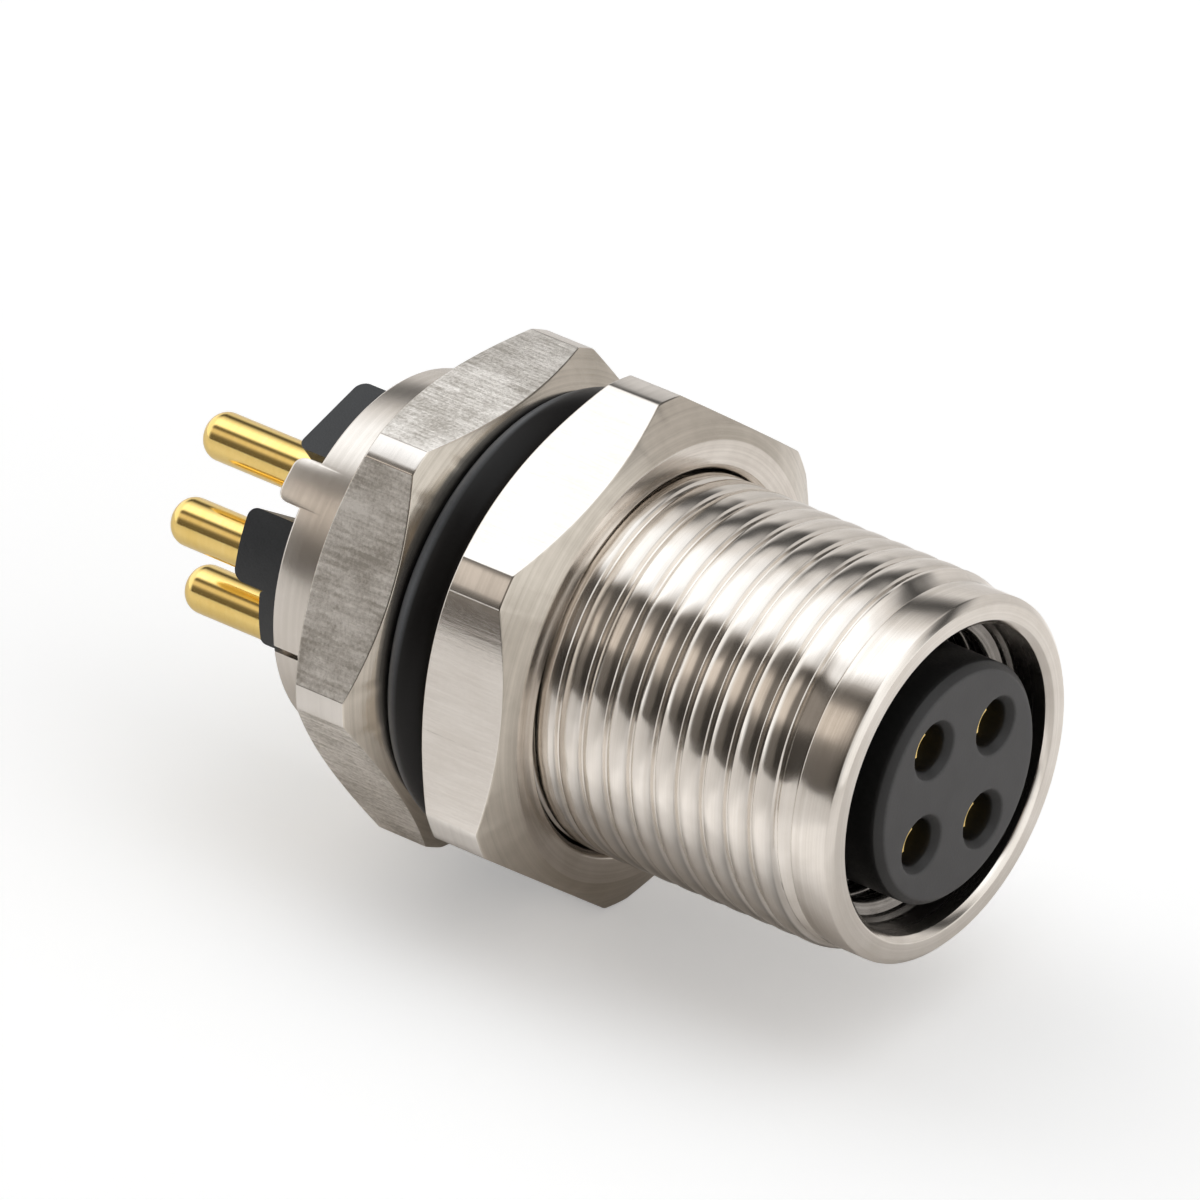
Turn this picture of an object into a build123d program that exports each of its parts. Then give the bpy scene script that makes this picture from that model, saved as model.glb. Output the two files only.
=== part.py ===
from build123d import *
import os
from math import atan2, cos, degrees, hypot, radians, sin, tan

# Frame: origin at the centre of the panel seat, +X the mating direction, +Z up

# Outer shell, along X
shell_front = 20.35
flange_thick = 4.0
hub_rim = -6.53
hub_r = 7.42
hub_bore_r = 6.95
hub_bore_depth = 3.5
bore_r = 6.0
rim_break = 0.12
tab_low = 127.5
tab_high = 142.0
tab_reach = 1.12
tab_round = 0.45
slit_angle = 187.5
slit_length = 1.2
slit_width = 0.24

# Panel thread, modelled as separate turns
thread_r = 7.6
thread_pitch = 1.15
thread_depth = 0.4
thread_turns = 14
neck_r = 6.9

# Plain collar at the mouth
collar_r = 7.36
face_r = 7.07
face_chamfer = 0.27

# Mating cavity
mouth_r = 6.2
mouth_depth = 1.6
mouth_break = 0.25
mating_major_r = 6.0
mating_minor_r = 5.45
mating_pitch = 1.0
mating_turns = 7
cavity_depth = 10.5
web_thick = 2.0

# Hexagons of the flange and the lock nut
flange_across = 18.0
flange_turned_r = 10.1
flange_circle_r = 8.65
flange_corner = 123.3
nut_growth = 0.5
nut_across = flange_across + 2 * nut_growth
nut_turned_r = flange_turned_r + nut_growth
nut_circle_r = flange_circle_r + nut_growth / 2
nut_corner = 142.2
hex_chamfer_angle = 30.0

# Sealing ring between the flange and the nut
ring_section = 2.2
ring_width = 2.15
ring_inner_r = neck_r + 0.02

# Lock nut
nut_gap = 0.05
nut_thick = 4.4
nut_fit = 0.08
nut_countersink = 0.22

# Contact insert
insert_r = 4.86
insert_proud = 0.4
insert_bevel = 0.3
insert_base_r = 5.95
insert_base_thick = 3.0
hole_r = 0.95
hole_mouth_r = 1.24
hole_chamfer = 0.3

# Rear insulator
body_fit = 0.05
insulator_recess = 0.3
block_inner_r = 2.2
block_round = 0.45
block_flat = 0.44
upper_reach = 1.8
middle_reach = 2.35
lower_reach = 1.05

# Contacts
socket_circle_r = 2.73
socket_angle = 35.0
socket_r = 0.85
socket_bore_r = 0.55
socket_bore_depth = 7.0
socket_recess = 1.25
socket_slot = 0.22
socket_slot_depth = 3.0
pin_circle_r = 4.3
pin_axis = 170.0
pin_spread = 48.0
pin_r = 0.99
pin_tip = -13.75
pin_round = 0.75
shank_r = 0.75
shank_proud = 0.15
link_thick = 1.2
link_width = 1.3


def at(radius, angle):
    return radius * cos(radians(angle)), radius * sin(radians(angle))


def turned(points):
    face = make_face(Polyline(*points, close=True))
    return revolve(face, Axis.X, 360)


def rod(x_low, x_high, radius, centre=(0, 0)):
    disc = Plane.YZ.offset(x_low) * Pos(*centre) * Circle(radius)
    return extrude(disc, x_high - x_low)


def hexagon(x_low, x_high, across, corner_angle, turned_r, circle_r):
    corner_r = across / 2 / cos(radians(30))
    corners = [at(corner_r, corner_angle + 60 * n) for n in range(6)]
    outline = Plane.YZ.offset(x_low) * make_face(Polyline(*corners, close=True))
    run = (turned_r - circle_r) * tan(radians(hex_chamfer_angle))
    blank = turned([
        (x_low, 0),
        (x_low, circle_r),
        (x_low + run, turned_r),
        (x_high - run, turned_r),
        (x_high, circle_r),
        (x_high, 0),
    ])
    return extrude(outline, x_high - x_low) & blank


def sector(inner_r, outer_r, angle_low, angle_high, x_low, x_high):
    middle = (angle_low + angle_high) / 2
    outer = ThreePointArc(at(outer_r, angle_low), at(outer_r, middle), at(outer_r, angle_high))
    inner = ThreePointArc(at(inner_r, angle_high), at(inner_r, middle), at(inner_r, angle_low))
    first = Line(outer @ 1, inner @ 0)
    last = Line(inner @ 1, outer @ 0)
    face = Plane.YZ.offset(x_low) * make_face([outer, first, inner, last])
    return extrude(face, x_high - x_low)


def rounded_rear(block, radius):
    rear_edges = block.edges().filter_by(GeomType.LINE).group_by(Axis.X)[0]
    return fillet(rear_edges, radius)


def ridge(x, pitch, root_r, crest_r):
    shoulder_r = root_r + 0.78 * (crest_r - root_r)
    return [
        (x + 0.06 * pitch, root_r),
        (x + 0.19 * pitch, shoulder_r),
        (x + 0.36 * pitch, crest_r),
        (x + 0.64 * pitch, crest_r),
        (x + 0.81 * pitch, shoulder_r),
        (x + 0.94 * pitch, root_r),
    ]


def shell_profile():
    root_r = thread_r - thread_depth
    thread_start = ring_width + 0.1
    points = [(hub_rim, hub_bore_r), (hub_rim, hub_r - rim_break), (hub_rim + rim_break, hub_r)]
    points += [(-flange_thick / 2, hub_r), (-flange_thick / 2, neck_r)]
    points += [(ring_width, neck_r), (thread_start, root_r)]
    for n in range(thread_turns):
        points += ridge(thread_start + n * thread_pitch, thread_pitch, root_r, thread_r)
    thread_end = thread_start + thread_turns * thread_pitch
    points += [(thread_end, root_r), (thread_end + 0.1, collar_r)]
    points += [(shell_front - face_chamfer, collar_r), (shell_front, face_r)]
    points += [(shell_front, mouth_r + mouth_break), (shell_front - mouth_break, mouth_r)]
    thread_mouth = shell_front - mouth_depth
    points += [(thread_mouth, mouth_r), (thread_mouth - 0.2, mating_major_r)]
    for n in range(mating_turns):
        turn = ridge(thread_mouth - 0.3 - (n + 1) * mating_pitch, mating_pitch, mating_major_r, mating_minor_r)
        points += reversed(turn)
    floor = shell_front - cavity_depth
    points += [(floor, mating_major_r), (floor, insert_r + body_fit / 2)]
    points += [(floor - web_thick, insert_r + body_fit / 2), (floor - web_thick, bore_r)]
    step = hub_rim + hub_bore_depth
    points += [(step, bore_r), (step, hub_bore_r)]
    return points


# Nickel-plated shell with its rear hexagon, tab and slit
def make_shell():
    body = turned(shell_profile())
    flange = hexagon(-flange_thick, 0, flange_across, flange_corner, flange_turned_r, flange_circle_r)
    flange -= rod(-flange_thick, 0, neck_r - 0.3)
    flange -= rod(-flange_thick, hub_rim + hub_bore_depth + 0.2, (hub_bore_r + hub_r) / 2)
    tab = sector(hub_bore_r + 0.06, hub_r - 0.02, tab_low, tab_high, hub_rim - tab_reach, hub_rim + tab_reach)
    tab = rounded_rear(tab, tab_round)
    slit = Rot(X=slit_angle) * Pos(hub_rim, hub_r, 0) * Box(2 * slit_length, 1.4, slit_width)
    return body + flange + tab - slit


# Hexagonal lock nut
def make_lock_nut():
    x_low = ring_width + nut_gap
    x_high = x_low + nut_thick
    bore = thread_r + nut_fit
    hole = turned([
        (x_low, 0),
        (x_low, bore + nut_countersink),
        (x_low + nut_countersink, bore),
        (x_high - nut_countersink, bore),
        (x_high, bore + nut_countersink),
        (x_high, 0),
    ])
    return hexagon(x_low, x_high, nut_across, nut_corner, nut_turned_r, nut_circle_r) - hole


# Rubber sealing ring, lightly squeezed
def make_panel_ring():
    centre = (ring_width / 2, ring_inner_r + ring_section / 2)
    section = Pos(*centre) * (Circle(ring_section / 2) & Rectangle(ring_width, ring_section))
    return revolve(section, Axis.X, 360)


# Route of each contact: socket angle, pin angle, depth of its link and of the face that its pin leaves
def contact_routes():
    front_level = insulator_front() - link_thick
    rear_level = front_level - 1.5 * link_thick
    base = hub_rim + insulator_recess
    return [
        (socket_angle + 90, pin_axis - pin_spread, front_level, hub_rim - upper_reach),
        (socket_angle + 180, pin_axis + pin_spread, front_level, base),
        (socket_angle + 270, pin_axis + 180, front_level, base),
        (socket_angle, pin_axis, rear_level, hub_rim - middle_reach),
    ]


def insert_front():
    return shell_front + insert_proud


def insert_rear():
    return shell_front - cavity_depth - web_thick - insert_base_thick


def insulator_front():
    return insert_rear()


# Solid outline of one contact, without its bore
def contact_blank(route):
    angle, pin_angle, level, exit_face = route
    socket_at = at(socket_circle_r, angle)
    pin_at = at(pin_circle_r, pin_angle)
    socket = rod(level, insert_front() - socket_recess, socket_r, socket_at)
    pin = rod(pin_tip, exit_face - shank_proud, pin_r, pin_at)
    tip = pin.edges().filter_by(GeomType.CIRCLE).sort_by(Axis.X)[0]
    pin = fillet(tip, pin_round)
    across = pin_at[0] - socket_at[0]
    up = pin_at[1] - socket_at[1]
    middle = (socket_at[0] + across / 2, socket_at[1] + up / 2)
    bar = Rectangle(hypot(across, up), link_width, rotation=degrees(atan2(up, across)))
    link = extrude(Plane.YZ.offset(level) * Pos(*middle) * bar, link_thick)
    shank = rod(exit_face - shank_proud, level + link_thick, shank_r, pin_at)
    return socket + link + shank + pin


# Gold-plated contact: slotted socket in front, solid pin behind
def make_contact(route):
    centre = at(socket_circle_r, route[0])
    mouth = insert_front() - socket_recess
    bore = rod(mouth - socket_bore_depth, mouth, socket_bore_r, centre)
    slot = Pos(mouth - socket_slot_depth / 2, *centre) * Box(socket_slot_depth, 2.2 * socket_r, socket_slot)
    return contact_blank(route) - bore - slot


# Moulded insert with four chamfered sockets
def make_insert(blanks):
    front = insert_front()
    base_front = insert_rear() + insert_base_thick
    post = turned([
        (insert_rear(), 0),
        (insert_rear(), insert_base_r),
        (base_front, insert_base_r),
        (base_front, insert_r),
        (front - insert_bevel, insert_r),
        (front, insert_r - insert_bevel),
        (front, 0),
    ])
    for n in range(4):
        centre = at(socket_circle_r, socket_angle + 90 * n)
        lead = turned([
            (front - socket_recess, 0),
            (front - socket_recess, hole_r),
            (front - hole_chamfer, hole_r),
            (front, hole_mouth_r),
            (front, 0),
        ])
        post -= Pos(0, *centre) * lead
    for blank in blanks:
        post -= blank
    return post


# Moulded rear body with stepped blocks round the pins
def make_rear_insulator(blanks):
    step = hub_rim + hub_bore_depth
    rear = hub_rim + insulator_recess
    outer_r = hub_bore_r - body_fit
    body = turned([
        (rear, 0),
        (rear, outer_r),
        (step, outer_r),
        (step, insert_base_r),
        (insulator_front(), insert_base_r),
        (insulator_front(), 0),
    ])
    upper = sector(block_inner_r, outer_r, 88.5, 123.5, hub_rim - upper_reach, rear)
    middle = sector(block_inner_r, outer_r, 147, 172, hub_rim - middle_reach, rear)
    lower = sector(block_inner_r, outer_r, 172, 192, hub_rim - lower_reach, rear)
    flat = Pos(rear, outer_r - block_flat + 2, 0) * Box(9, 4, 12)
    body += rounded_rear(upper, block_round) - Rot(X=106) * flat
    body += rounded_rear(middle, block_round)
    body += rounded_rear(lower, block_round / 2)
    for blank in blanks:
        body -= blank
    return body


def main():
    os.makedirs("parts", exist_ok=True)
    routes = contact_routes()
    blanks = [contact_blank(route) for route in routes]
    parts = {
        "shell": make_shell(),
        "lock_nut": make_lock_nut(),
        "panel_o_ring": make_panel_ring(),
        "contact_insert": make_insert(blanks),
        "rear_insulator": make_rear_insulator(blanks),
    }
    for n, route in enumerate(routes):
        parts[f"contact_{n + 1}"] = make_contact(route)
    for name, shape in parts.items():
        export_step(shape, f"parts/{name}.step")
        print(name, round(shape.volume, 2), len(shape.solids()))


main()
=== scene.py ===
import bpy
import bmesh
from collections import namedtuple
from math import acos, cos, degrees, hypot, pi, radians, sin, tan
from mathutils import Matrix, Vector
from mathutils.geometry import tessellate_polygon


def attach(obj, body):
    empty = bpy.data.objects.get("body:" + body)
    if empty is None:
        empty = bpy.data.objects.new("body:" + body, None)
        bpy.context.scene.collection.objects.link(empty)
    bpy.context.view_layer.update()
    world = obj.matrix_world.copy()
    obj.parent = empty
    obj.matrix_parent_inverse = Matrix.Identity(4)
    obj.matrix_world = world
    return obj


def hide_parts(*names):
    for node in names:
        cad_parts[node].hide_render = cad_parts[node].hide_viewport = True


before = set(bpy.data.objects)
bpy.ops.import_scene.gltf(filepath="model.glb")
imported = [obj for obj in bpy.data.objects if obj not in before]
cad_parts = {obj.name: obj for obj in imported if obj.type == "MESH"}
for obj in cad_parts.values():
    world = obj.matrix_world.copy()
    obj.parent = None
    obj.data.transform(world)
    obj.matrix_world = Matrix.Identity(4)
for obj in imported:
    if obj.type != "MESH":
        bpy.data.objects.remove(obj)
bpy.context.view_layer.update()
MM = 0.001

# Sizes in millimetres and angles in degrees about +X, as in the solids

# Shell
FRONT = 20.35
FLANGE = 4.0
HUB_RIM = -6.53
HUB_R = 7.42
HUB_BORE = 6.95
HUB_FLOOR = -3.0
RIM_BREAK = 0.1
TAB_LOW = 127.5
TAB_HIGH = 142.0
TAB_REACH = 1.12
TAB_ROUND = 0.45
SLIT_ANGLE = 187.5
SLIT_HALF = 0.93
SLIT_END = -5.33
SLIT_DEPTH = 0.5
NECK_R = 6.9
BORE_R = 6.0
COLLAR_R = 7.36
FACE_R = 7.07
FACE_CHAMFER = 0.27
MOUTH_R = 6.2
MOUTH_DEPTH = 1.6
MOUTH_BREAK = 0.25
CAVITY = 10.5
WEB = 2.0

# Panel thread, from its start to its end along X
THREAD_R = 7.6
THREAD_ROOT = 7.2
THREAD_START = 2.25
PITCH = 1.15
TURNS = 14
THREAD_END = THREAD_START + TURNS * PITCH

# Thread inside the mouth
MATING_MAJOR = 6.0
MATING_MINOR = 5.45
MATING_PITCH = 1.0
MATING_TURNS = 7
MATING_LEAD = 0.2
MATING_START = 0.3

# Insert with its four holes
INSERT_R = 4.86
INSERT_FRONT = FRONT + 0.4
INSERT_BEVEL = 0.3
INSERT_FLAT_R = INSERT_R - 0.5
INSERT_BASE_R = 5.95
INSERT_BASE = 3.0
INSERT_FIT = 0.025
HOLE_R = 0.95
HOLE_MOUTH_R = 1.24
HOLE_CHAMFER = 0.3
HOLE_FLAT_R = 1.4
HOLE_DEPTH = 9.0

# Contacts: socket and pin of each, by the angle of its place on their circles
SOCKETS = [35.0 + 90 * k for k in (1, 2, 3, 0)]
SOCKET_CIRCLE = 2.73
SOCKET_RECESS = 1.25
SOCKET_R = 0.82
SOCKET_FLARE = 0.93
SOCKET_BORE = 0.55
SOCKET_BORE_DEPTH = 7.0
SOCKET_LENGTH = 12.0
TINE_RECESS = 0.27
TINE_INNER = 0.7
TINE_ANGLE = 146
PINS = [122.0, 218.0, 350.0, 170.0]
PIN_CIRCLE = 4.3
PIN_R = 0.99
PIN_TIP = -13.75
PIN_ROUND = 0.75
PIN_START = -2.0

# Sealing ring: a round section with a flat on either side
RING_CIRCLE = 8.02
RING_R = 1.1
RING_HALF = 1.075

# Hexagons: half width across flats, radius of the turned corners, radius of the face, angle of a corner,
# then the places of back and front along X
Hexagon = namedtuple("Hexagon", "flat turned face corner low high")
FLANGE_HEX = Hexagon(9.0, 10.1, 8.65, 123.3, -FLANGE, 0.0)
NUT_HEX = Hexagon(9.5, 10.6, 8.9, 142.2, 2.2, 6.6)
NUT_BORE = 7.68
COUNTERSINK = 0.22

# Rounding of edges
SHELL_EDGE = 0.05
FLANGE_EDGE = 0.07
NUT_EDGE = 0.06
INSERT_EDGE = 0.05
REAR_EDGE = 0.1

# Steps round a turned piece and round the shell, and the radius that stands for zero on an axis
ROUND = 192
SHELL_STEPS = 216
ON_AXIS = 0.0001


# Meshes

def mesh_piece(name, verts, faces, body, nodes=(), smooth_angle=35):
    mesh = bpy.data.meshes.new(name)
    mesh.from_pydata([(x * MM, y * MM, z * MM) for x, y, z in verts], [], faces)
    mesh.validate()
    mesh.update()
    for polygon in mesh.polygons:
        polygon.use_smooth = True
    mesh.set_sharp_from_angle(angle=radians(smooth_angle))
    piece = bpy.data.objects.new(name, mesh)
    bpy.context.scene.collection.objects.link(piece)
    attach(piece, body)
    if nodes:
        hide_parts(*nodes)
    return piece


def softened(path, radius, steps=3, closed=True):
    """Rounds each corner of a path of (x, r) points with a small arc."""
    out = []
    count = len(path)
    for n, point in enumerate(path):
        if not closed and n in (0, count - 1):
            out.append(point)
            continue
        here = Vector(point)
        before = Vector(path[n - 1]) - here
        after = Vector(path[(n + 1) % count]) - here
        reach = min(radius, 0.4 * before.length, 0.4 * after.length)
        start = here + before.normalized() * reach
        end = here + after.normalized() * reach
        for k in range(steps + 1):
            t = k / steps
            spot = start * (1 - t) ** 2 + here * 2 * t * (1 - t) + end * t ** 2
            out.append((spot.x, spot.y))
    return out


def ring_faces(rows, columns, closed_path=True):
    faces = []
    for i in range(rows):
        ni = (i + 1) % rows
        for j in range(columns if closed_path else columns - 1):
            nj = (j + 1) % columns
            faces.append((i * columns + j, i * columns + nj, ni * columns + nj, ni * columns + j))
    return faces


def lathe(name, path, body, nodes=(), segments=ROUND, centre=(0, 0), closed=True):
    """A turned piece: a path of (x, r) points swept about the X direction."""
    verts = []
    for i in range(segments):
        a = 2 * pi * i / segments
        verts += [(x, centre[0] + r * cos(a), centre[1] + r * sin(a)) for x, r in path]
    columns = len(path)
    faces = ring_faces(segments, columns, closed)
    if not closed:
        faces.append([i * columns for i in range(segments)][::-1])
        faces.append([i * columns + columns - 1 for i in range(segments)])
    return mesh_piece(name, verts, faces, body, nodes)


def swept(name, path_of, angles, body, nodes=(), smooth_angle=35):
    """A ring whose (x, r) section may change with its angle in degrees."""
    verts = []
    columns = 0
    for angle in angles:
        path = path_of(angle)
        columns = len(path)
        a = radians(angle)
        verts += [(x, r * cos(a), r * sin(a)) for x, r in path]
    return mesh_piece(name, verts, ring_faces(len(angles), columns), body, nodes, smooth_angle)


def evened(piece):
    """Large faces keep their own normals, so small rounded edges catch the light."""
    mod = piece.modifiers.new("normals", "WEIGHTED_NORMAL")
    mod.keep_sharp = True
    mod.weight = 60
    return piece


# Shell: hub, neck, collar and mouth in one turning

def ridge(x, pitch, root, crest):
    """One rounded ridge of the mating thread."""
    shoulder = root + 0.78 * (crest - root)
    return [
        (x + 0.06 * pitch, root),
        (x + 0.19 * pitch, shoulder),
        (x + 0.36 * pitch, crest),
        (x + 0.64 * pitch, crest),
        (x + 0.81 * pitch, shoulder),
        (x + 0.94 * pitch, root),
    ]


def rim_x(angle):
    """Place of the hub's rear rim, which reaches further back along the tab."""
    into = min(angle - TAB_LOW, TAB_HIGH - angle) * pi / 180 * HUB_R
    if into < 0:
        return HUB_RIM
    if into < TAB_ROUND:
        return HUB_RIM - TAB_REACH + TAB_ROUND - (TAB_ROUND ** 2 - (TAB_ROUND - into) ** 2) ** 0.5
    return HUB_RIM - TAB_REACH


def shell_path(angle):
    """Section of the shell at one angle, from the rear rim over the outside to the mouth and back inside."""
    rim = rim_x(angle)
    hub = HUB_R - SLIT_DEPTH if abs(angle - SLIT_ANGLE) < SLIT_HALF else HUB_R
    path = [(rim, HUB_BORE), (rim, hub - RIM_BREAK), (rim + RIM_BREAK, hub), (SLIT_END, hub)]
    path += [(SLIT_END + 0.03, HUB_R), (-FLANGE / 2, HUB_R), (-FLANGE / 2, NECK_R)]
    path += [(THREAD_START - 0.05, NECK_R)]
    path += [(THREAD_START, THREAD_ROOT - 0.1), (THREAD_END, THREAD_ROOT - 0.1), (THREAD_END, THREAD_ROOT)]
    path += [(THREAD_END + 0.12, COLLAR_R), (FRONT - FACE_CHAMFER, COLLAR_R), (FRONT, FACE_R)]
    path += [(FRONT, MOUTH_R + MOUTH_BREAK), (FRONT - MOUTH_BREAK, MOUTH_R)]
    inner = FRONT - MOUTH_DEPTH
    path += [(inner, MOUTH_R), (inner - MATING_LEAD, MATING_MAJOR)]
    for n in range(MATING_TURNS):
        start = inner - MATING_START - (n + 1) * MATING_PITCH
        path += reversed(ridge(start, MATING_PITCH, MATING_MAJOR, MATING_MINOR))
    web_front = FRONT - CAVITY
    web_bore = INSERT_R + INSERT_FIT
    web_rear = web_front - WEB
    path += [(web_front, MATING_MAJOR), (web_front, web_bore), (web_rear, web_bore), (web_rear, BORE_R)]
    path += [(HUB_FLOOR, BORE_R), (HUB_FLOOR, HUB_BORE)]
    return softened(path, SHELL_EDGE, 2)


def shell_angles():
    """Even steps, with closer ones at the tab's rounded ends and at the slit's sides."""
    angles = {round(360 * n / SHELL_STEPS, 4) for n in range(SHELL_STEPS)}
    for edge, way in ((TAB_LOW, 1), (TAB_HIGH, -1)):
        angles |= {round(edge - way * 0.15, 4), round(edge + way * 0.01, 4)}
        angles |= {round(edge + way * 3.7 * k / 8, 4) for k in range(1, 9)}
    for side in (-1, 1):
        angles |= {SLIT_ANGLE + side * (SLIT_HALF + 0.05), SLIT_ANGLE + side * (SLIT_HALF - 0.05)}
    return sorted(angles)


# Panel thread

# Half of its groove, from the floor to the rounded shoulder: shares of the pitch from and to, and their radii
GROOVE = [
    (0.0, 0.045, THREAD_R - 0.24, THREAD_R - 0.22),
    (0.045, 0.1, THREAD_R - 0.22, THREAD_R - 0.11),
    (0.1, 0.13, THREAD_R - 0.11, THREAD_R - 0.06),
]
CREST_FALL = 0.06

# Shares of the pitch at which each turn has a row of points
ROWS = [0, 0.045, 0.1, 0.13, 0.18, 0.24, 0.32, 0.4, 0.5, 0.6, 0.68, 0.76, 0.82, 0.87, 0.9, 0.955]


def thread_profile(phase):
    """Radius of the thread at a share of its pitch: a narrow groove and a broad, crowned crest."""
    d = min(phase % 1, 1 - phase % 1)
    for near, far, low_r, high_r in GROOVE:
        if d <= far:
            return low_r + (high_r - low_r) * (d - near) / (far - near)
    return THREAD_R - CREST_FALL * (abs(0.5 - d) / (0.5 - GROOVE[-1][1])) ** 2.5


def helical_thread(name, body, nodes):
    """The panel thread as one continuous helix that fades in and out at its ends."""
    steps = len(ROWS)
    columns = (TURNS + 2) * steps + 1
    verts = []
    for i in range(SHELL_STEPS):
        turn = i / SHELL_STEPS
        a = 2 * pi * turn
        for j in range(columns):
            phase = j // steps + ROWS[j % steps]
            x = THREAD_START + (phase - 1 + turn) * PITCH
            clamped = max(THREAD_START, min(THREAD_END, x))
            fade = min(1, max(0, min(clamped - THREAD_START, THREAD_END - clamped) / (0.5 * PITCH)))
            r = THREAD_ROOT + (thread_profile(phase) - THREAD_ROOT) * fade if clamped == x else THREAD_ROOT
            verts.append((clamped, r * cos(a), r * sin(a)))
    faces = []
    for i in range(SHELL_STEPS):
        for j in range(columns - 1):
            if i + 1 < SHELL_STEPS:
                after = ((i + 1) * columns + j, (i + 1) * columns + j + 1)
            elif j + steps + 1 < columns:
                after = (j + steps, j + steps + 1)
            else:
                continue
            faces.append((i * columns + j, i * columns + j + 1, after[1], after[0]))
    core = THREAD_ROOT - 0.2
    inner = len(verts)
    for i in range(SHELL_STEPS):
        a = 2 * pi * i / SHELL_STEPS
        verts += [(x, core * cos(a), core * sin(a)) for x in (THREAD_START, THREAD_END)]
    for i in range(SHELL_STEPS):
        n = (i + 1) % SHELL_STEPS
        first, last = i * columns, i * columns + columns - 1
        next_first, next_last = n * columns, n * columns + columns - 1
        low, next_low = inner + 2 * i, inner + 2 * n
        faces.append((low, first, next_first, next_low))
        faces.append((last, low + 1, next_low + 1, next_last))
        faces.append((low + 1, low, next_low, next_low + 1))
    piece = mesh_piece(name, verts, faces, body, nodes)
    merged(piece, 1e-7)
    return piece


def merged(piece, distance):
    bm = bmesh.new()
    bm.from_mesh(piece.data)
    bmesh.ops.remove_doubles(bm, verts=bm.verts, dist=distance)
    bmesh.ops.dissolve_degenerate(bm, dist=distance, edges=bm.edges)
    bmesh.ops.recalc_face_normals(bm, faces=bm.faces)
    bm.to_mesh(piece.data)
    bm.free()
    for polygon in piece.data.polygons:
        polygon.use_smooth = True
    piece.data.set_sharp_from_angle(angle=radians(35))


# Hexagons

def hex_angles(shape):
    """Five steps over each turned corner and even ones along each flat."""
    half = 30 - degrees(acos(shape.flat / shape.turned))
    angles = []
    for k in range(6):
        middle = shape.corner + 60 * k
        angles += [middle + s * half for s in (-0.93, -0.5, 0, 0.5, 0.93)]
        start, end = middle + half * 1.07, middle + 60 - half * 1.07
        angles += [start + (end - start) * n / 20 for n in range(21)]
    return angles


def hex_section(angle, shape):
    """Outer half of a chamfered hexagon's section at one angle, from the front face to the back."""
    outer = min(shape.flat / cos(radians((angle - shape.corner) % 60 - 30)), shape.turned)
    run = (outer - shape.face) * tan(radians(30))
    back = [(shape.low + run, outer), (shape.low, shape.face)]
    return [(shape.high, shape.face), (shape.high - run, outer)] + back


def flange_path(angle):
    """The flange's section, with its inside hidden in the hub and the neck."""
    hub = HUB_R - 0.22
    neck = NECK_R - 0.3
    step = -2.6
    inside = [(-FLANGE, hub), (step, hub), (step, neck), (0, neck)]
    return softened(hex_section(angle, FLANGE_HEX) + inside, FLANGE_EDGE, 3)


def nut_path(angle):
    low, high = NUT_HEX.low, NUT_HEX.high
    bore = [(low, NUT_BORE + COUNTERSINK), (low + COUNTERSINK, NUT_BORE)]
    bore += [(high - COUNTERSINK, NUT_BORE), (high, NUT_BORE + COUNTERSINK)]
    return softened(hex_section(angle, NUT_HEX) + bore, NUT_EDGE, 3)


# Sealing ring

def ring_path():
    """The sealing ring's section, flat towards the flange and towards the nut."""
    path = []
    for n in range(40):
        a = 2 * pi * n / 40
        x = RING_HALF + max(-RING_HALF, min(RING_HALF, RING_R * cos(a)))
        path.append((x, RING_CIRCLE + RING_R * sin(a)))
    return path


# Insert and contacts

def spot(radius, angle):
    return radius * cos(radians(angle)), radius * sin(radians(angle))


def facing_out(piece):
    bm = bmesh.new()
    bm.from_mesh(piece.data)
    bmesh.ops.recalc_face_normals(bm, faces=bm.faces)
    bm.to_mesh(piece.data)
    bm.free()


def insert_piece():
    """The post and its four blind holes as tubes, joined by one flat face round the holes."""
    base_front = FRONT - CAVITY - WEB
    base_rear = base_front - INSERT_BASE
    bevel = INSERT_FRONT - INSERT_BEVEL
    post = [(base_rear, INSERT_BASE_R), (base_front, INSERT_BASE_R), (base_front, INSERT_R)]
    post += [(bevel, INSERT_R), (INSERT_FRONT, INSERT_R - INSERT_BEVEL), (INSERT_FRONT, INSERT_FLAT_R)]
    hole = [(INSERT_FRONT - HOLE_DEPTH, HOLE_R), (INSERT_FRONT - HOLE_CHAMFER, HOLE_R)]
    hole += [(INSERT_FRONT, HOLE_MOUTH_R), (INSERT_FRONT, HOLE_FLAT_R)]
    tubes = [(softened(post, INSERT_EDGE, 3, False), (0, 0), ROUND)]
    tubes += [(softened(hole, INSERT_EDGE, 3, False), spot(SOCKET_CIRCLE, angle), 72) for angle in SOCKETS]
    verts, faces, rims = [], [], []
    for path, centre, count in tubes:
        base = len(verts)
        for x, r in path:
            turns = [2 * pi * k / count for k in range(count)]
            verts += [(x, centre[0] + r * cos(a), centre[1] + r * sin(a)) for a in turns]
        faces.append(list(range(base, base + count)))
        for first in range(base, len(verts) - count, count):
            for k in range(count):
                n = (k + 1) % count
                faces.append((first + k, first + n, first + count + n, first + count + k))
        rims.append(list(range(len(verts) - count, len(verts))))
    order = [index for rim in rims for index in rim]
    loops = [[Vector((verts[index][1], verts[index][2], 0)) for index in rim] for rim in rims]
    faces += [[order[corner] for corner in triangle] for triangle in tessellate_polygon(loops)]
    piece = mesh_piece("contact_insert_moulding", verts, faces, "receptacle", ("contact_insert",))
    facing_out(piece)
    return piece


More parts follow.
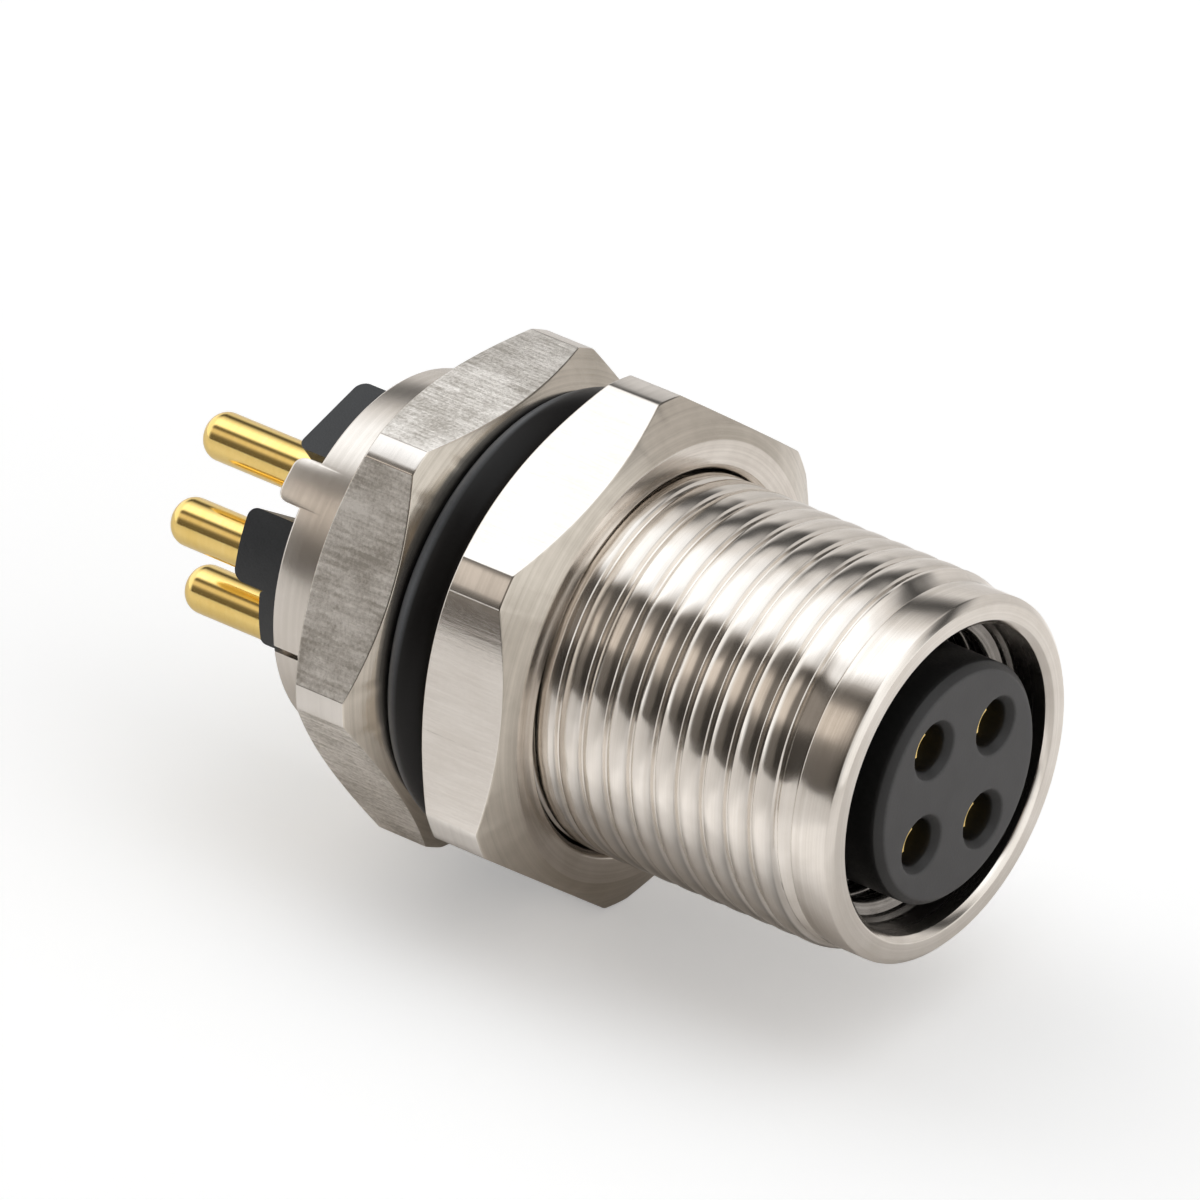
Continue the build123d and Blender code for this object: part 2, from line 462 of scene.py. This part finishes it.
def pin_piece(node, centre):
    """The plated pin behind, with a round tip."""
    shoulder = PIN_TIP + PIN_ROUND
    path = [(PIN_START, PIN_R), (shoulder, PIN_R)]
    for k in range(1, 11):
        a = pi / 2 * k / 10
        path.append((shoulder - PIN_ROUND * sin(a), PIN_R - PIN_ROUND * (1 - cos(a))))
    return lathe(f"{node}_pin", path, "receptacle", (node,), 64, centre, closed=False)


def socket_piece(node, centre):
    """The tube in front that takes a plug's pin, flared and countersunk at its mouth."""
    mouth = INSERT_FRONT - SOCKET_RECESS
    rear, bottom = mouth - SOCKET_LENGTH, mouth - SOCKET_BORE_DEPTH
    path = [(mouth, SOCKET_FLARE), (mouth - 0.3, SOCKET_FLARE), (mouth - 0.42, SOCKET_R), (rear, SOCKET_R)]
    path += [(rear, ON_AXIS), (bottom, ON_AXIS), (bottom, SOCKET_BORE)]
    path += [(mouth - 0.8, SOCKET_BORE), (mouth - 0.12, SOCKET_BORE), (mouth, SOCKET_BORE + 0.12)]
    return lathe(f"{node}_socket", path, "receptacle", (node,), 48, centre)


def tine_piece(node, centre):
    """The spring tongue that stands forward of the socket on one side and guides a pin in."""
    lip = INSERT_FRONT - TINE_RECESS
    root = INSERT_FRONT - SOCKET_RECESS - 0.2
    path = [(root, SOCKET_FLARE), (lip - 0.06, SOCKET_FLARE), (lip, SOCKET_FLARE - 0.06)]
    path += [(lip, TINE_INNER + 0.07), (lip - 0.1, TINE_INNER), (root, TINE_INNER)]
    turns = [radians(TINE_ANGLE + 4 * k) for k in range(-9, 10)]
    verts = [(x, centre[0] + r * cos(a), centre[1] + r * sin(a)) for a in turns for x, r in path]
    size, last = len(path), len(verts) - len(path)
    faces = []
    for first in range(0, last, size):
        for k in range(size):
            n = (k + 1) % size
            faces.append((first + k, first + n, first + size + n, first + size + k))
    faces += [tuple(range(size - 1, -1, -1)), tuple(range(last, last + size))]
    piece = mesh_piece(f"{node}_tine", verts, faces, "receptacle", (node,))
    facing_out(piece)
    return piece


def contact_pieces(n):
    """Pin, socket and tongue of one contact, from 0 to 3."""
    node = f"contact_{n + 1}"
    pin_at, socket_at = spot(PIN_CIRCLE, PINS[n]), spot(SOCKET_CIRCLE, SOCKETS[n])
    return pin_piece(node, pin_at), socket_piece(node, socket_at), tine_piece(node, socket_at)


# Materials

def new_material(name):
    mat = bpy.data.materials.new(name)
    mat.use_nodes = True
    return mat, mat.node_tree.nodes, mat.node_tree.links, mat.node_tree.nodes["Principled BSDF"]


def add(nodes, kind, **values):
    node = nodes.new(kind)
    for key, value in values.items():
        setattr(node, key, value)
    return node


def number(nodes, links, operation, a, b=None):
    node = add(nodes, "ShaderNodeMath", operation=operation)
    for socket, value in zip(node.inputs, (a, b)):
        if value is None:
            continue
        if isinstance(value, (int, float)):
            socket.default_value = value
        else:
            links.new(value, socket)
    return node.outputs[0]


def noise(nodes, links, vector, scale, detail=3.0, rough=0.55):
    node = add(nodes, "ShaderNodeTexNoise")
    node.inputs["Scale"].default_value = scale
    node.inputs["Detail"].default_value = detail
    node.inputs["Roughness"].default_value = rough
    links.new(vector, node.inputs["Vector"])
    return node.outputs["Fac"]


def position(nodes, links):
    """Object position in millimetres: x, y, z and the distance from the axis."""
    coord = add(nodes, "ShaderNodeTexCoord")
    scale = add(nodes, "ShaderNodeVectorMath", operation="SCALE")
    scale.inputs["Scale"].default_value = 1000
    links.new(coord.outputs["Object"], scale.inputs[0])
    split = add(nodes, "ShaderNodeSeparateXYZ")
    links.new(scale.outputs[0], split.inputs[0])
    x, y, z = split.outputs
    square = number(nodes, links, "ADD", squared(nodes, links, y), squared(nodes, links, z))
    return scale.outputs[0], x, y, z, number(nodes, links, "SQRT", square)


def squared(nodes, links, value):
    return number(nodes, links, "MULTIPLY", value, value)


def scaled(nodes, links, value, factor):
    return number(nodes, links, "MULTIPLY", value, factor)


def joined(nodes, links, x, y, z):
    node = add(nodes, "ShaderNodeCombineXYZ")
    for socket, value in zip(node.inputs, (x, y, z)):
        if isinstance(value, (int, float)):
            socket.default_value = value
        else:
            links.new(value, socket)
    return node.outputs[0]


def mapped(nodes, links, value, low, high, to_low, to_high):
    node = add(nodes, "ShaderNodeMapRange")
    links.new(value, node.inputs["Value"])
    for name, limit in zip(("From Min", "From Max", "To Min", "To Max"), (low, high, to_low, to_high)):
        node.inputs[name].default_value = limit
    return node.outputs["Result"]


def ramp(nodes, links, value, stops):
    """Colour ramp over a value, through (value, grey level or colour) stops."""
    low, high = stops[0][0], stops[-1][0]
    node = add(nodes, "ShaderNodeValToRGB")
    links.new(mapped(nodes, links, value, low, high, 0.0, 1.0), node.inputs["Fac"])
    elements = node.color_ramp.elements
    elements.remove(elements[-1])
    for n, (place, level) in enumerate(stops):
        element = elements[0] if n == 0 else elements.new(1.0)
        element.position = (place - low) / (high - low)
        element.color = (level, level, level, 1) if isinstance(level, (int, float)) else (*level, 1)
    return node.outputs["Color"]


def tinted(nodes, links, value, first, second):
    node = add(nodes, "ShaderNodeMix", data_type="RGBA")
    links.new(value, node.inputs["Factor"])
    node.inputs["A"].default_value = (*first, 1)
    node.inputs["B"].default_value = (*second, 1)
    return node.outputs["Result"]


def bumped(nodes, links, bsdf, height, strength, distance, below=None):
    node = add(nodes, "ShaderNodeBump")
    node.inputs["Strength"].default_value = strength
    node.inputs["Distance"].default_value = distance * MM
    links.new(height, node.inputs["Height"])
    if below:
        links.new(below, node.inputs["Normal"])
    links.new(node.outputs["Normal"], bsdf.inputs["Normal"])
    return node.outputs["Normal"]


def blended(nodes, links, first, share, second):
    low = number(nodes, links, "MULTIPLY", first, 1 - share)
    return number(nodes, links, "ADD", low, number(nodes, links, "MULTIPLY", second, share))


def multiplied(nodes, links, factor, first, second):
    """First colour, multiplied by the second as far as the factor says."""
    node = add(nodes, "ShaderNodeMix", data_type="RGBA", blend_type="MULTIPLY")
    for name, value in (("Factor", factor), ("A", first), ("B", second)):
        links.new(value, node.inputs[name])
    return node.outputs["Result"]


# Painted shade on the thread: share of the pitch and brightness along one ridge, and angle and strength of
# that painted shade round the thread
RIDGE_SHADE = [(0, 0.75), (0.05, 0.95), (0.35, 1.0), (0.6, 0.8), (0.86, 0.42), (0.9, 0.75), (1, 0.75)]
RIDGE_STRENGTH = [(-180, 0.35), (-165, 1.0), (-100, 1.0), (-60, 0.35), (0, 0.35), (180, 0.35)]


def ridges_shaded(nodes, links, colour, x, y, z):
    """Painted shade: each ridge of the thread is coloured darker towards its front flank, most of all on the
    underside.
    """
    angle = number(nodes, links, "ARCTAN2", z, y)
    along = number(nodes, links, "DIVIDE", number(nodes, links, "SUBTRACT", x, THREAD_START), PITCH)
    turns = number(nodes, links, "DIVIDE", angle, 2 * pi)
    phase = number(nodes, links, "FRACT", number(nodes, links, "SUBTRACT", along, turns))
    strength = ramp(nodes, links, angle, [(radians(place), level) for place, level in RIDGE_STRENGTH])
    return multiplied(nodes, links, strength, colour, ramp(nodes, links, phase, RIDGE_SHADE))


def turned_plate(name, light, dark, rough, groove=0.003, lines=9.0, wave=0.02, wave_size=0.9, painted_ridge_shade=False):
    """Plated metal with tool lines round the axis and a slow waviness that breaks up its reflections.

    Its roughness lies between two values. Lines are counted by the millimetre, heights are in millimetres.
    """
    mat, nodes, links, bsdf = new_material(name)
    bsdf.inputs["Metallic"].default_value = 1.0
    vector, x, y, z, r = position(nodes, links)
    lay = joined(nodes, links, scaled(nodes, links, x, lines), scaled(nodes, links, r, lines), 0.0)
    fine = noise(nodes, links, lay, 1.0, 4.0, 0.6)
    cloud = noise(nodes, links, vector, 0.55, 3.0, 0.6)
    tone = blended(nodes, links, fine, 0.45, cloud)
    colour = tinted(nodes, links, mapped(nodes, links, tone, 0.36, 0.64, 0.0, 1.0), dark, light)
    # Painted shade across each ridge of the thread
    if painted_ridge_shade:
        colour = ridges_shaded(nodes, links, colour, x, y, z)
    links.new(colour, bsdf.inputs["Base Color"])
    links.new(mapped(nodes, links, tone, 0.3, 0.7, rough[1], rough[0]), bsdf.inputs["Roughness"])
    slow = noise(nodes, links, vector, wave_size, 0.0, 0.5)
    under = bumped(nodes, links, bsdf, slow, 1.0, wave)
    bumped(nodes, links, bsdf, fine, 0.6, groove, under)
    return mat


def milled_plate(name, light, dark, rough, groove, lines, pits, grain, roll):
    """Plated metal with short cutter lines along the part's axis and a mottled, slightly pitted skin.

    A flat may roll off between two angles in degrees, as a polished one does, by a fall in millimetres.
    """
    mat, nodes, links, bsdf = new_material(name)
    bsdf.inputs["Metallic"].default_value = 1.0
    vector, x, y, z = position(nodes, links)[:4]
    across = [scaled(nodes, links, value, lines) for value in (y, z)]
    lay = joined(nodes, links, scaled(nodes, links, x, 0.5), *across)
    streaks = noise(nodes, links, lay, 1.0, 4.0, 0.65)
    mottle = noise(nodes, links, vector, grain, 4.0, 0.7)
    cloud = noise(nodes, links, vector, 0.5, 2.0, 0.5)
    start, end, fall = roll
    turn = number(nodes, links, "ARCTAN2", z, y)
    share = mapped(nodes, links, turn, radians(start), radians(end), 1.0, 0.0)
    drop = number(nodes, links, "MULTIPLY", share, scaled(nodes, links, share, -fall))
    under = bumped(nodes, links, bsdf, drop, 1.0, 1.0)
    height = blended(nodes, links, streaks, pits, mottle)
    tone = mapped(nodes, links, blended(nodes, links, height, 0.3, cloud), 0.41, 0.59, 0.0, 1.0)
    links.new(tinted(nodes, links, tone, dark, light), bsdf.inputs["Base Color"])
    links.new(mapped(nodes, links, mottle, 0.3, 0.7, rough[1], rough[0]), bsdf.inputs["Roughness"])
    bumped(nodes, links, bsdf, height, 0.8, groove, under)
    return mat


def moulded(name, light, dark, rough, texture=0.012, scale=9.0, specular=0.5, fade=None):
    """Moulded plastic or rubber with a fine eroded texture; (x, level) stops may change its tone along x, as
    painted shade and painted highlight.
    """
    mat, nodes, links, bsdf = new_material(name)
    vector, x = position(nodes, links)[:2]
    grain = noise(nodes, links, vector, scale, 4.0, 0.6)
    cloud = mapped(nodes, links, noise(nodes, links, vector, 0.8, 2.0, 0.5), 0.3, 0.7, 0.88, 1.0)
    tone = number(nodes, links, "MULTIPLY", cloud, mapped(nodes, links, grain, 0.35, 0.65, 0.82, 1.0))
    # Painted shade and highlight along x, from the fade stops
    if fade:
        tone = number(nodes, links, "MULTIPLY", tone, ramp(nodes, links, x, fade))
    links.new(tinted(nodes, links, tone, dark, light), bsdf.inputs["Base Color"])
    links.new(mapped(nodes, links, grain, 0.3, 0.7, *rough), bsdf.inputs["Roughness"])
    bsdf.inputs["Specular IOR Level"].default_value = specular
    bumped(nodes, links, bsdf, grain, 0.5, texture)
    return mat


# Nickel: each finish by its lighter and darker colour and its roughness
turned_metal = turned_plate("nickel_turned", (0.84, 0.80, 0.755), (0.71, 0.665, 0.61), (0.11, 0.2))
face_metal = turned_plate(
    "nickel_face", (0.79, 0.745, 0.695), (0.60, 0.555, 0.505), (0.16, 0.28),
    groove=0.004, lines=7.0, wave=0.004)
# Chamfers: the face's nickel darkened as painted shade
cone_shade_metal = turned_plate(
    "nickel_cone_shade", (0.615, 0.565, 0.50), (0.47, 0.43, 0.375), (0.16, 0.28),
    groove=0.004, lines=7.0, wave=0.004)
hub_metal = turned_plate(
    "nickel_hub", (0.755, 0.715, 0.67), (0.68, 0.64, 0.59), (0.2, 0.28),
    groove=0.002, lines=6.0, wave=0.01)
# Inside the mouth: the nickel darkened as painted shade, and rougher
bore_shade_metal = turned_plate("nickel_bore_shade", (0.44, 0.42, 0.40), (0.22, 0.205, 0.19), (0.2, 0.32))
strip_metal = turned_plate(
    "nickel_strip", (0.80, 0.77, 0.735), (0.71, 0.68, 0.645), (0.14, 0.22),
    groove=0.004, lines=6.0, wave=0.008)
# The thread's nickel, with painted shade along its ridges
thread_metal = turned_plate(
    "nickel_thread", (0.88, 0.84, 0.795), (0.78, 0.735, 0.68), (0.12, 0.19),
    groove=0.002, wave=0.05, wave_size=0.8, painted_ridge_shade=True)
flange_flats = milled_plate(
    "nickel_milled", (0.91, 0.88, 0.84), (0.45, 0.42, 0.38), (0.38, 0.52),
    groove=0.06, lines=6.0, pits=0.5, grain=7.0, roll=(121, 64, 1.5))
nut_flats = milled_plate(
    "nickel_ground", (0.83, 0.795, 0.755), (0.76, 0.72, 0.675), (0.19, 0.27),
    groove=0.01, lines=8.0, pits=0.2, grain=6.0, roll=(145.9, 161, 0.55))

# Gold, bright outside; down the sockets' bores rougher and darkened as painted shade
gold_metal = turned_plate(
    "gold_plate", (0.99, 0.75, 0.29), (0.95, 0.69, 0.23), (0.11, 0.17),
    groove=0.001, lines=5.0, wave=0.003)
gold_bore_shade = turned_plate(
    "gold_bore_shade", (0.22, 0.15, 0.05), (0.12, 0.08, 0.025), (0.3, 0.45),
    groove=0.001, lines=5.0, wave=0.003)

# Plastics and rubber; the insert is darker down its sides and in its holes as painted shade, and the ring has
# a painted highlight on its back half with painted shade towards its edges
# Painted shade down the insert's sides and in its holes
INSERT_SHADE = [(-0.5, 0.0), (-0.32, 0.3), (-0.07, 0.42), (-0.02, 1.0)]
# Painted highlight on the ring's back half, painted shade towards its flat sides, most towards the nut
RING_HIGHLIGHT_AND_SHADE = [(0.1, 0.3), (0.25, 1.0), (0.65, 1.0), (0.95, 0.05)]
insert_plastic = moulded(
    "insert_moulding", (0.082, 0.082, 0.085), (0.006, 0.006, 0.006), (0.42, 0.58),
    specular=0.35, fade=[(INSERT_FRONT + x, level) for x, level in INSERT_SHADE])
rear_plastic = moulded(
    "rear_moulding", (0.036, 0.04, 0.045), (0.01, 0.011, 0.013), (0.28, 0.46),
    texture=0.03, scale=11.0, specular=0.45)
ring_rubber = moulded(
    "ring_rubber", (0.115, 0.123, 0.135), (0.006, 0.005, 0.0045), (0.3, 0.42),
    texture=0.004, scale=7.0, specular=0.15, fade=RING_HIGHLIGHT_AND_SHADE)


def painted(piece, slot, *materials):
    piece.data.materials.clear()
    for material in materials:
        piece.data.materials.append(material)
    return piece


def from_axis(polygon, centre=(0, 0)):
    """Distance in millimetres from a line along X, by default the part's axis."""
    return hypot(polygon.center.y / MM - centre[0], polygon.center.z / MM - centre[1])


def shell_painted(piece):
    """The outside is bright, the inside of the mouth darker as painted shade and the hub satin."""
    painted(piece, "nickel", turned_metal, bore_shade_metal, hub_metal)
    for polygon in piece.data.polygons:
        if from_axis(polygon) < MOUTH_R + 0.02:
            polygon.material_index = 1
        elif polygon.center.x < 0:
            polygon.material_index = 2


def hex_painted(piece, shape, flats):
    """Flats get their own finish, turned corners a bright one, faces the lathe's, and chamfers a darker copy
    as painted shade.
    """
    painted(piece, "nickel", face_metal, flats, strip_metal, cone_shade_metal)
    for polygon in piece.data.polygons:
        tilt, radius = abs(polygon.normal.x), from_axis(polygon)
        if tilt < 0.2 and radius > shape.flat - 0.1:
            polygon.material_index = 2 if radius > shape.turned - 0.06 else 1
        elif 0.2 < tilt < 0.97 and radius > shape.face:
            polygon.material_index = 3


def contact_painted(piece, socket_at):
    """Gold, with the darkened one, painted shade, down the socket's bore."""
    painted(piece, "gold", gold_metal, gold_bore_shade)
    for polygon in piece.data.polygons:
        deep = 0 < polygon.center.x / MM < INSERT_FRONT - SOCKET_RECESS - 0.5
        if deep and from_axis(polygon, socket_at) < SOCKET_BORE + 0.01:
            polygon.material_index = 1


# The object

turning = swept("shell_turning", shell_path, shell_angles(), "receptacle", ("shell",))
shell_painted(turning)
painted(helical_thread("panel_thread", "receptacle", ("shell",)), "nickel", thread_metal)
flange = swept("flange_hexagon", flange_path, hex_angles(FLANGE_HEX), "receptacle", ("shell",), 40)
hex_painted(flange, FLANGE_HEX, flange_flats)
nut = swept("lock_nut_hexagon", nut_path, hex_angles(NUT_HEX), "nut", ("lock_nut",), 40)
hex_painted(nut, NUT_HEX, nut_flats)
painted(lathe("sealing_ring", ring_path(), "receptacle", ("panel_o_ring",)), "ring_rubber", ring_rubber)
insert = painted(insert_piece(), "insert_plastic", insert_plastic)
for piece in (turning, flange, nut, insert):
    evened(piece)
for n in range(4):
    for piece in contact_pieces(n):
        contact_painted(piece, spot(SOCKET_CIRCLE, SOCKETS[n]))

# The rear body keeps its solid's mesh, with its edges slightly broken
rear = painted(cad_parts["rear_insulator"], "rear_plastic", rear_plastic)
rear.data.set_sharp_from_angle(angle=radians(30))
edges = rear.modifiers.new("edges", "BEVEL")
edges.width = REAR_EDGE * MM
edges.segments = 2
edges.limit_method = "ANGLE"
edges.angle_limit = radians(40)


# Studio: a pale floor, a broad light overhead and a darker side towards the camera

# Floor: half its size, its colour to the light and to the camera, and its glow to the camera
FLOOR_HALF = 3000
FLOOR_COLOUR = (0.86, 0.835, 0.81)
FLOOR_SEEN = (0.88, 0.89, 0.90)
FLOOR_GLOW = 0.32

# The floor's glow in the metal, a painted reflection, by distance to the side and by place along the part in
# millimetres; none close beside the part, as painted shadow
GLOW_ASIDE = [(0, 0), (9, 0.0), (18, 0.4), (28, 0.4), (75, 0.1)]
GLOW_ALONG = [(-14, 0.25), (-6, 0.4), (1, 1.0), (10, 0.85), (26, 0.5)]

# Brightness of the surroundings by angle round the part's axis in degrees
AROUND = [(-180, 0.3), (-172, 0.7), (-90, 0.7), (8, 0.72), (16, 0.8), (22, 0.72), (30, 0.25), (37, 0.05)]
AROUND += [(46, 0.15), (53, 0.6), (62, 0.95), (76, 1.4), (86, 1.5), (102, 1.5), (109, 0.8), (113, 0.24)]
AROUND += [(118, 0.08), (125, 0.27), (131, 0.8), (143, 0.8), (151, 0.32), (158, 0.16), (173, 0.13)]
AROUND += [(180, 0.1)]

# Where the side towards the camera is dimmed, by angle, and how much, by direction along the axis
ZONE = [(110, 0), (128, 1), (170, 1), (178, 0)]
ALONG = [(-1, 1.0), (-0.46, 1.0), (-0.32, 0.3), (-0.1, 0.3), (0.1, 0.35), (0.6, 0.35)]

# Directions near the axis meet a plain bright wall: where it begins, where it is full and its colour
END_FROM = 0.7
END_TO = 0.86
END_COLOUR = (1.15, 1.14, 1.12, 1)

# Camera, fitted to the photograph: two directions, place in millimetres and lens
CAMERA_RIGHT = (0.783, 0.6219, 0.0118)
CAMERA_FORWARD = (-0.5304, 0.6775, -0.5096)
CAMERA_PLACE = (338.34, -427.65, 323.25)
CAMERA_LENS = 498.3


def floor():
    """A plane at the height of the nut's lowest corner."""
    low = -NUT_HEX.turned
    corners = ((-1, -1), (1, -1), (1, 1), (-1, 1))
    mesh = bpy.data.meshes.new("studio_floor")
    verts = [(x * FLOOR_HALF * MM, y * FLOOR_HALF * MM, low * MM) for x, y in corners]
    mesh.from_pydata(verts, [], [(0, 1, 2, 3)])
    plane = bpy.data.objects.new("studio_floor", mesh)
    bpy.context.scene.collection.objects.link(plane)
    mesh.materials.append(floor_material())


def floor_material():
    """Matt white, with an even glow that the camera sees, and a painted reflection glow with painted shadow
    beside the part that reflections see.
    """
    mat, nodes, links, bsdf = new_material("floor_white")
    bsdf.inputs["Roughness"].default_value = 0.9
    bsdf.inputs["Specular IOR Level"].default_value = 0.0
    path = add(nodes, "ShaderNodeLightPath")
    shade = tinted(nodes, links, path.outputs["Is Camera Ray"], FLOOR_COLOUR, FLOOR_SEEN)
    links.new(shade, bsdf.inputs["Base Color"])
    x, y = position(nodes, links)[1:3]
    aside = ramp(nodes, links, number(nodes, links, "ABSOLUTE", y), GLOW_ASIDE)
    level = number(nodes, links, "MULTIPLY", aside, ramp(nodes, links, x, GLOW_ALONG))
    seen = scaled(nodes, links, path.outputs["Is Camera Ray"], FLOOR_GLOW)
    # Painted reflection and painted shadow in the glow that reflections see
    mirrored = number(nodes, links, "MULTIPLY", path.outputs["Is Glossy Ray"], level)
    glow = add(nodes, "ShaderNodeEmission")
    links.new(number(nodes, links, "ADD", seen, mirrored), glow.inputs["Strength"])
    both = add(nodes, "ShaderNodeAddShader")
    links.new(bsdf.outputs[0], both.inputs[0])
    links.new(glow.outputs[0], both.inputs[1])
    links.new(both.outputs[0], nodes["Material Output"].inputs["Surface"])
    return mat


def warmed(angle, level):
    """A grey level with a slightly warm or cool tint, by the side that it lies on."""
    blue = 0.78 if angle > 110 else 1.03 if level > 1 else 0.93
    return level, level * (0.5 + blue / 2), level * blue


def studio_world():
    """Brightness round the part's axis: bright overhead, with two dark edges, and warm towards the camera."""
    world = bpy.data.worlds.new("studio")
    bpy.context.scene.world = world
    world.use_nodes = True
    nodes, links = world.node_tree.nodes, world.node_tree.links
    coord = add(nodes, "ShaderNodeTexCoord")
    split = add(nodes, "ShaderNodeSeparateXYZ")
    links.new(coord.outputs["Generated"], split.inputs[0])
    x, y, z = split.outputs
    turn = number(nodes, links, "ARCTAN2", z, y)
    around = ramp(nodes, links, turn, [(radians(angle), warmed(angle, level)) for angle, level in AROUND])
    zone = ramp(nodes, links, turn, [(radians(angle), level) for angle, level in ZONE])
    dimmed = multiplied(nodes, links, zone, around, ramp(nodes, links, x, ALONG))
    ends = add(nodes, "ShaderNodeMix", data_type="RGBA")
    side = mapped(nodes, links, number(nodes, links, "ABSOLUTE", x), END_FROM, END_TO, 0.0, 1.0)
    links.new(side, ends.inputs["Factor"])
    links.new(dimmed, ends.inputs["A"])
    ends.inputs["B"].default_value = END_COLOUR
    background = nodes["Background"]
    links.new(ends.outputs["Result"], background.inputs["Color"])
    background.inputs["Strength"].default_value = 1.0


def studio_camera():
    data = bpy.data.cameras.new("camera")
    camera = bpy.data.objects.new("camera", data)
    bpy.context.scene.collection.objects.link(camera)
    right = Vector(CAMERA_RIGHT).normalized()
    forward = Vector(CAMERA_FORWARD).normalized()
    up = right.cross(forward).normalized()
    turn = Matrix((right, up, -forward)).transposed().to_4x4()
    camera.matrix_world = Matrix.Translation(Vector(CAMERA_PLACE) * MM) @ turn
    data.sensor_width = 36.0
    data.lens = CAMERA_LENS
    data.clip_start = 0.01
    bpy.context.scene.camera = camera


floor()
studio_world()
studio_camera()
bpy.context.scene.view_settings.view_transform = "Standard"
